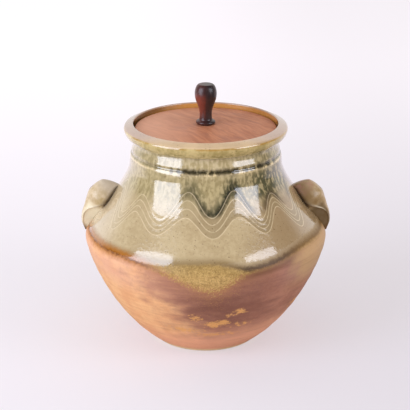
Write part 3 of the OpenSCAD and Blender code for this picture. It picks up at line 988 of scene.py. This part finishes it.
# Painted sheen: the wood turns paler towards the left
painted_sheen_side = 1 - place.axis("X").rise(-75, 5)
wood = (painted_sheen_side * 0.55).tint(wood, painted_sheen_wood)
wood.feed(shader, "Base Color")
(0.46 + 0.2 * pores).feed(shader, "Roughness")
shader.inputs["Specular IOR Level"].default_value = 0.35
(pores + veins).bump(0.2, 0.3 * MM).feed(shader, "Normal")
wooden_lid = piece_of(turned(lid_path, lid_steps, closed=True), "wooden_lid", lid_wood)
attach(wooden_lid, "lid")
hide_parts("lid_board")

# The knob: one turning of dark hardwood with a beaded base, a waisted neck and a bulb that the fingers
# grip. It stands on the lid and has a pilot hole from below for the screw. It was polished on the lathe.

knob_h = 48
knob_base_r = 11.4
knob_base_t = 4.8
knob_neck_r = 7.2
knob_neck_h = 12.5
knob_bulb_r = 12.9
knob_bulb_h = 36.5
knob_top_r = 7.6
knob_dish = 0.5
bead_turn = 80
cove_pull = 3.4
bulb_pull = 9
cap_pull = 6
pilot_r = 1.9 + screw_gap
pilot_top = lid_base_h + 28
pilot_point = 4 + screw_gap
bead_steps = 14
cove_steps = 14
bulb_steps = 22
cap_steps = 16
knob_steps = 96
bead_r = knob_base_t / 2
bead_at = point(knob_base_r - bead_r, crown_h + bead_r)
waist_at = point(knob_neck_r, crown_h + knob_neck_h)
bulb_at = point(knob_bulb_r, crown_h + knob_bulb_h)
cap_at = point(knob_top_r, crown_h + knob_h)
knob_path = (
    [point(0, pilot_top + pilot_point), point(pilot_r, pilot_top), point(pilot_r, crown_h)]
    + arc(bead_at, bead_r, -90, bead_turn, bead_steps)
    + curve(bead_at + point(0, bead_r), point(knob_neck_r, crown_h + knob_base_t),
            waist_at - point(0, cove_pull), waist_at, cove_steps)
    + curve(waist_at, waist_at + point(0, bulb_pull),
            bulb_at - point(0, bulb_pull), bulb_at, bulb_steps)[1:]
    + curve(bulb_at, bulb_at + point(0, cap_pull),
            cap_at + point(cap_pull / 2, 0), cap_at, cap_steps)[1:]
    + [point(0, crown_h + knob_h - knob_dish)]
)

black_wood = shade(34, 23, 25)
dark_wood = shade(58, 36, 35)
left_red = shade(138, 58, 42)
line_black = shade(28, 18, 20)
knob_wood, shader, place = new_finish("polished_knob_wood")
height = place.axis("Z")
streaks = place.stretched(1, 1, 0.12).noise(0.28, 3.0, 0.6, 0.4)
fine = place.stretched(1, 1, 0.1).noise(1.1, 2.0, 0.6)
# Redder on the left of the bulb, down to its neck
red_side = 1 - (place.axis("X") + (streaks - 0.5) * 16).rise(-7, 4)
red_zone = height.rise(268, 282) * (1 - height.rise(297, 304))
wood = streaks.rise(0.35, 0.65).tint(black_wood, dark_wood)
wood = (red_side * (0.25 + 0.7 * red_zone) * (0.55 + 0.6 * streaks)).tint(wood, left_red)
wood = (fine.rise(0.55, 0.7) * 0.4).tint(wood, line_black)
wood.feed(shader, "Base Color")
(0.3 + 0.15 * fine).feed(shader, "Roughness")
shader.inputs["Coat Weight"].default_value = 0.25
shader.inputs["Coat Roughness"].default_value = 0.15
turned_knob = piece_of(turned(knob_path, knob_steps), "turned_knob", knob_wood)
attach(turned_knob, "lid")
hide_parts("lid_knob")

# The screw: a plain countersunk brass wood screw, driven up through the lid into the knob. Only its
# slotted head shows, flush with the underside of the lid.

bright_brass = shade(204, 168, 96)
dull_brass = shade(150, 112, 60)
brass, shader, place = new_finish("plain_screw_brass")
tarnish = place.noise(0.6, 3.0, 0.6)
tarnish.rise(0.35, 0.7).tint(bright_brass, dull_brass).feed(shader, "Base Color")
(0.28 + 0.25 * tarnish).feed(shader, "Roughness")
shader.inputs["Metallic"].default_value = 1.0
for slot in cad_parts["knob_screw"].material_slots:
    slot.material = brass

# The studio: a wide sheet of pale paper under the crock, a white room round it, and a tall soft lamp on
# each side in front. The paper glows faintly where it is seen or mirrored, so that it shows as pale as
# the room, and it keeps the crock's shadow.

paper_half = 6
paper_drop = 0.3 * MM
lit_paper = shade(232, 226, 234)
seen_paper = shade(176, 171, 177)
dim_paper = shade(90, 86, 82)
no_glow = (0, 0, 0, 1)
full_glow = (1, 0.98, 1.03, 1)
paper_mesh = bmesh.new()
bmesh.ops.create_grid(paper_mesh, x_segments=1, y_segments=1, size=paper_half)
bmesh.ops.translate(paper_mesh, verts=paper_mesh.verts, vec=(0, 0, -paper_drop))
paper, shader, place = new_finish("pale_paper")
across = place.axis("X")
back = place.axis("Y")
seen = place.node("ShaderNodeLightPath", {}, {}, "Is Camera Ray")
mirrored = seen.other("Is Glossy Ray")
past_front = (1 - back.rise(-50, 350)) * mirrored
past_front.tint(seen.tint(lit_paper, seen_paper), dim_paper).feed(shader, "Base Color")
glow = 0.11 + 0.34 * seen
glow = glow + (0.38 - 0.12 * seen) * back.rise(-200, 1500)
glow = glow - (0.14 - 0.03 * seen) * across.rise(-250, 350)
glow = glow * seen.most(mirrored) * (1 - past_front)
glow.tint(no_glow, full_glow).feed(shader, "Emission Color")
shader.inputs["Emission Strength"].default_value = 1
shader.inputs["Roughness"].default_value = 0.95
shader.inputs["Specular IOR Level"].default_value = 0.1
floor = piece_of(paper_mesh, "studio_floor", paper)

room_colour = (1.05, 0.985, 0.94, 1)
mirrored_colour = (1.02, 0.99, 0.97, 1)
world = bpy.data.worlds.new("white_room")
bpy.context.scene.world = world
world.use_nodes = True
sky = world.node_tree.nodes["Background"]
looking = Signal(world.node_tree, world.node_tree.nodes.new("ShaderNodeTexCoord").outputs["Generated"])
mirrored = looking.node("ShaderNodeLightPath", {}, {}, "Is Glossy Ray")
behind = looking.axis("Y").rise(0.25, 0.55) * (1 - looking.axis("Z").rise(0.6, 0.85))
mirrored.tint(room_colour, mirrored_colour).feed(sky, "Color")
(0.68 * (1 - mirrored) + (0.08 + 0.8 * behind) * mirrored).feed(sky, "Strength")


def soft_lamp(name, degrees, distance, start, end, foot, top, radiance, colour):
    """An upright rectangle of light between two heights, foot and top, of one radiance and colour.
    It faces the axis at an angle round from the front, and reaches sideways, away from the front, from
    start to end. Lengths are in metres."""
    lamp = bpy.data.lights.new(name, "AREA")
    lamp.shape = "RECTANGLE"
    lamp.size = end - start
    lamp.size_y = top - foot
    lamp.energy = radiance * math.pi * lamp.size * lamp.size_y
    lamp.color = colour
    holder = bpy.data.objects.new(name, lamp)
    angle = math.radians(degrees)
    to_lamp = Vector((math.sin(angle), -math.cos(angle), 0))
    sideways = Vector((math.cos(angle), math.sin(angle), 0)) * math.copysign(1, degrees)
    holder.location = to_lamp * distance + sideways * (start + end) / 2 + Vector((0, 0, (foot + top) / 2))
    holder.rotation_euler = (-to_lamp).to_track_quat("-Z", "Y").to_euler()
    bpy.context.scene.collection.objects.link(holder)


soft_lamp("soft_lamp_left", degrees=-30, distance=1.3, start=0.14, end=1.4, foot=0.1, top=1.42,
          radiance=3.75, colour=(0.9, 0.98, 1.16))
soft_lamp("soft_lamp_right", degrees=40, distance=1.3, start=0.05, end=1.0, foot=0.46, top=1.31,
          radiance=3.7, colour=(0.96, 0.98, 1.08))

camera_at = Vector((-0.00084, -1.5045, 0.7069))
looks_at = Vector((-0.00084, 0, 0.1623))
camera_data = bpy.data.cameras.new("camera")
camera_data.sensor_width = 36
camera_data.lens = 117.07
camera = bpy.data.objects.new("camera", camera_data)
camera.location = camera_at
camera.rotation_euler = (looks_at - camera_at).to_track_quat("-Z", "Y").to_euler()
bpy.context.scene.collection.objects.link(camera)
bpy.context.scene.camera = camera
bpy.context.scene.view_settings.view_transform = "Standard"
